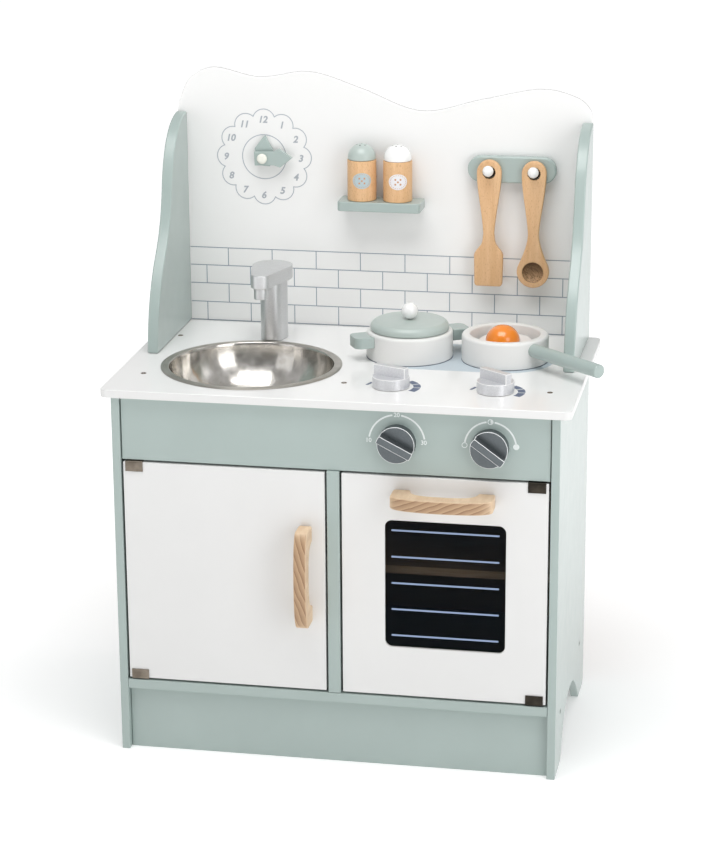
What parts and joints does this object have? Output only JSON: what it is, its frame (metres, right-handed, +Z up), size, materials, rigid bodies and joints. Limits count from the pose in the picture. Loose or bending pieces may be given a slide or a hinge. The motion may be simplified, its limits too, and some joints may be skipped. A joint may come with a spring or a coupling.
{
  "type": "toy kitchen",
  "caption": "Wooden play kitchen: cupboard, oven, worktop with sink and hob, clock and utensils on a wavy backboard, with loose cookware.",
  "frame": {"origin": "on the floor under the middle of the kick board, halfway across the cabinet", "axes": "+Z up; +X to the right as seen from the front; +Y from the doors towards the backboard"},
  "size_m": [0.5812, 0.3753, 0.7827],
  "materials": {
    "sage_paint": "satin sage-green lacquer on fibreboard and wood",
    "white_paint": "satin white lacquer on fibreboard and wood",
    "light_grey_paint": "satin light grey lacquer on turned wood",
    "yolk_paint": "glossy orange lacquer on turned wood",
    "beech": "clear-oiled beech with short flecks",
    "ash": "clear-oiled ash with brown grain streaks",
    "raw_board": "unpainted hardboard",
    "steel": "polished, finely brushed",
    "silver_plastic": "silver metallic paint, satin",
    "graphite_plastic": "graphite metallic paint, satin",
    "dark_metal": "bronzed sheet steel",
    "smoked_glass": "dark printed pane, glossy"
  },
  "bodies": {
    "cabinet": {"side_panel_left": "sage_paint", "side_panel_right": "sage_paint", "bottom_panel": "sage_paint", "kick_board": "sage_paint", "control_panel": "sage_paint", "centre_divider": "sage_paint", "cabinet_back": "raw_board", "rear_rail": "ash", "top_batten_left": "ash", "top_batten_right": "ash", "oven_shelf": "ash", "cupboard_catch": "dark_metal", "oven_catch": "dark_metal", "worktop": "white_paint", "sink_bowl": "steel", "faucet_column": "silver_plastic", "backboard": "white_paint", "wing_left": "sage_paint", "wing_right": "sage_paint", "shaker_shelf": "sage_paint", "utensil_rail": "sage_paint", "peg_left": "white_paint", "peg_right": "white_paint", "clock_pin": "white_paint"},
    "cupboard_door": {"cupboard_door": "white_paint", "cupboard_handle": "ash", "cupboard_hinge_top": "dark_metal", "cupboard_hinge_bottom": "dark_metal"},
    "oven_door": {"oven_door": "white_paint", "oven_window": "smoked_glass", "oven_handle": "ash", "oven_hinge_top": "dark_metal", "oven_hinge_bottom": "dark_metal"},
    "oven_knob_left": {"oven_knob_left": "graphite_plastic", "oven_knob_left_bolt": "steel"},
    "oven_knob_right": {"oven_knob_right": "graphite_plastic", "oven_knob_right_bolt": "steel"},
    "hob_knob_left": {"hob_knob_left": "silver_plastic", "hob_knob_left_bolt": "steel"},
    "hob_knob_right": {"hob_knob_right": "silver_plastic", "hob_knob_right_bolt": "steel"},
    "faucet_spout": {"faucet_spout": "silver_plastic", "faucet_nozzle": "silver_plastic"},
    "clock_hour_hand": {"clock_hour_hand": "sage_paint"},
    "clock_minute_hand": {"clock_minute_hand": "sage_paint"},
    "spatula": {"spatula": "beech"},
    "spoon": {"spoon": "beech"},
    "pepper_shaker": {"pepper_body": "beech", "pepper_cap": "sage_paint"},
    "salt_shaker": {"salt_body": "beech", "salt_cap": "white_paint"},
    "pot": {"pot": "light_grey_paint", "pot_handle_left": "sage_paint", "pot_handle_right": "sage_paint"},
    "pot_lid": {"pot_lid": "sage_paint", "lid_knob": "white_paint"},
    "pan": {"pan": "light_grey_paint", "pan_handle": "sage_paint"},
    "fried_egg": {"egg_white": "white_paint", "egg_yolk": "yolk_paint"}
  },
  "joints": [
    {"name": "cupboard_door_hinge", "type": "hinge", "parent": "cabinet", "child": "cupboard_door", "pos_m": [-0.2445, -0.009, 0.23125], "axis": [0, 0, -1], "range_deg": [0, 110]},
    {"name": "oven_door_hinge", "type": "hinge", "parent": "cabinet", "child": "oven_door", "pos_m": [0.2445, -0.009, 0.23125], "axis": [0, 0, 1], "range_deg": [0, 110]},
    {"name": "oven_knob_left_turn", "type": "hinge", "parent": "cabinet", "child": "oven_knob_left", "pos_m": [0.076, -0.012, 0.4087], "axis": [0, -1, 0], "continuous": true},
    {"name": "oven_knob_right_turn", "type": "hinge", "parent": "cabinet", "child": "oven_knob_right", "pos_m": [0.184, -0.012, 0.4087], "axis": [0, -1, 0], "continuous": true},
    {"name": "hob_knob_left_turn", "type": "hinge", "parent": "cabinet", "child": "hob_knob_left", "pos_m": [0.0575, 0.0495, 0.457], "axis": [0, 0, 1], "continuous": true},
    {"name": "hob_knob_right_turn", "type": "hinge", "parent": "cabinet", "child": "hob_knob_right", "pos_m": [0.1808, 0.0495, 0.457], "axis": [0, 0, 1], "continuous": true},
    {"name": "faucet_swivel", "type": "hinge", "parent": "cabinet", "child": "faucet_spout", "pos_m": [-0.126, 0.241, 0.534], "axis": [0, 0, 1], "range_deg": [-70, 70]},
    {"name": "hour_hand_turn", "type": "hinge", "parent": "cabinet", "child": "clock_hour_hand", "pos_m": [-0.1505, 0.312, 0.6718], "axis": [0, 1, 0], "continuous": true},
    {"name": "minute_hand_turn", "type": "hinge", "parent": "cabinet", "child": "clock_minute_hand", "pos_m": [-0.1505, 0.312, 0.6718], "axis": [0, 1, 0], "continuous": true},
    {"name": "spatula_swing", "type": "hinge", "parent": "cabinet", "child": "spatula", "pos_m": [0.1369, 0.2949, 0.6686], "axis": [0, 1, 0], "range_deg": [-3, 25]},
    {"name": "spoon_swing", "type": "hinge", "parent": "cabinet", "child": "spoon", "pos_m": [0.1925, 0.2949, 0.6686], "axis": [0, 1, 0], "range_deg": [-12, 3]},
    {"name": "pepper_lift", "type": "slide", "parent": "cabinet", "child": "pepper_shaker", "axis": [0, 0, 1], "range_m": [0, 0.06]},
    {"name": "salt_lift", "type": "slide", "parent": "cabinet", "child": "salt_shaker", "axis": [0, 0, 1], "range_m": [0, 0.06]},
    {"name": "pot_lift", "type": "slide", "parent": "cabinet", "child": "pot", "axis": [0, 0, 1], "range_m": [0, 0.06]},
    {"name": "lid_lift", "type": "slide", "parent": "pot", "child": "pot_lid", "axis": [0, 0, 1], "range_m": [0, 0.04]},
    {"name": "pan_lift", "type": "slide", "parent": "cabinet", "child": "pan", "axis": [0, 0, 1], "range_m": [0, 0.06]},
    {"name": "egg_lift", "type": "slide", "parent": "pan", "child": "fried_egg", "axis": [0, 0, 1], "range_m": [0, 0.05]}
  ]
}
